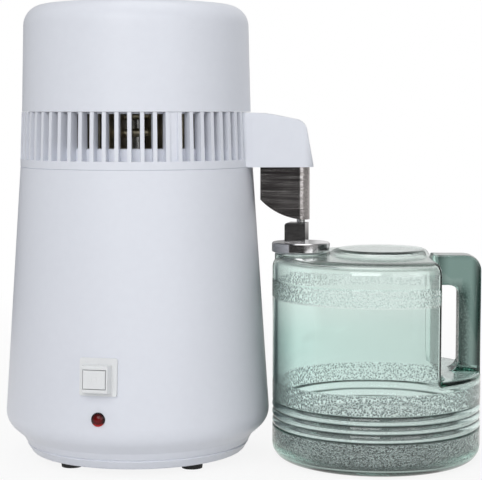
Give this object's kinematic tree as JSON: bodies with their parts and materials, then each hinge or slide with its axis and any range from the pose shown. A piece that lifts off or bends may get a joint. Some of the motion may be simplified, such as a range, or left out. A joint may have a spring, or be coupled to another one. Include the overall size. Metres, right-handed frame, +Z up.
{
  "type": "water distiller",
  "caption": "Countertop water distiller: white boiler with a ribbed, fan-cooled head whose arm drips into a green glass jug with a steel lid.",
  "frame": {"origin": "middle of the outline of machine and jug together, on the counter", "axes": "+X from the boiler to the jug, +Y to the back, +Z up"},
  "size_m": [0.4031, 0.2344, 0.3847],
  "materials": {
    "white_plastic": "satin white",
    "warm_white_plastic": "satin warm white",
    "stainless_steel": "satin",
    "polished_steel": "polished",
    "brushed_steel": "brushed lengthwise",
    "green_glass": "clear, tinted green",
    "black_rubber": "matt black",
    "red_lens": "clear dark red",
    "black_plastic": "matt black",
    "aluminium": "mill",
    "brass": "bright",
    "zinc_plated_steel": "plated",
    "spring_steel": "bright",
    "silicone_seal": "matt, pale"
  },
  "bodies": {
    "boiler": {"base_pan": "white_plastic", "bottom_cover": "white_plastic", "bottom_cover_screws": "zinc_plated_steel", "feet": "black_rubber", "foot_screws": "zinc_plated_steel", "base_screws": "zinc_plated_steel", "boiler_shell": "white_plastic", "inner_pot": "stainless_steel", "heater_plate": "aluminium", "heater_tube": "stainless_steel", "heater_terminals": "brass", "thermostat": "black_plastic", "thermal_cutout": "black_plastic", "mains_inlet": "black_plastic", "inlet_pins": "brass", "inlet_screws": "zinc_plated_steel", "fan_outlet": "black_plastic", "switch_bezel": "warm_white_plastic", "switch_body": "black_plastic", "switch_terminals": "brass", "button_spring": "spring_steel", "lamp_lens": "red_lens", "lamp_body": "black_plastic", "lamp_nut": "black_plastic"},
    "button": {"start_button": "warm_white_plastic"},
    "head": {"top_cover": "white_plastic", "vent_ring": "white_plastic", "spout_shield": "brushed_steel", "shield_rivets": "brushed_steel", "condenser_coil": "aluminium", "condenser_fins": "aluminium", "steam_riser": "stainless_steel", "outlet_tube": "stainless_steel", "fan_motor": "zinc_plated_steel", "motor_bracket": "zinc_plated_steel", "bracket_screws": "zinc_plated_steel", "motor_screws": "zinc_plated_steel", "steam_dome": "stainless_steel", "dome_screws": "zinc_plated_steel", "head_gasket": "silicone_seal", "head_inlet": "black_plastic", "head_pins": "brass", "head_screws": "zinc_plated_steel"},
    "rotor": {"fan": "black_plastic", "fan_shaft": "zinc_plated_steel"},
    "jug": {"jug_glass": "green_glass", "jug_handle": "green_glass"},
    "lid": {"jug_lid": "polished_steel", "lid_gasket": "silicone_seal", "inlet_block": "polished_steel", "block_screws": "zinc_plated_steel"}
  },
  "joints": [
    {"name": "head_lift", "type": "slide", "parent": "boiler", "child": "head", "axis": [0, 0, 1], "range_m": [0, 0.2]},
    {"name": "fan_spin", "type": "hinge", "parent": "head", "child": "rotor", "pos_m": [-0.08925, 0.0053, 0.345], "axis": [0, 0, 1], "continuous": true},
    {"name": "jug_slide", "type": "slide", "parent": "boiler", "child": "jug", "axis": [1, 0, 0], "range_m": [0, 0.2]},
    {"name": "lid_turn", "type": "hinge", "parent": "jug", "child": "lid", "pos_m": [0.04965, 0.0053, 0.1766], "axis": [0, 0, 1], "range_deg": [0, 90]},
    {"name": "button_press", "type": "slide", "parent": "boiler", "child": "button", "axis": [0.1732, 0.9824, -0.0693], "range_m": [0, 0.003], "stiffness_N_per_m": 600, "springref_m": -0.001, "deforming": ["button_spring"]}
  ]
}
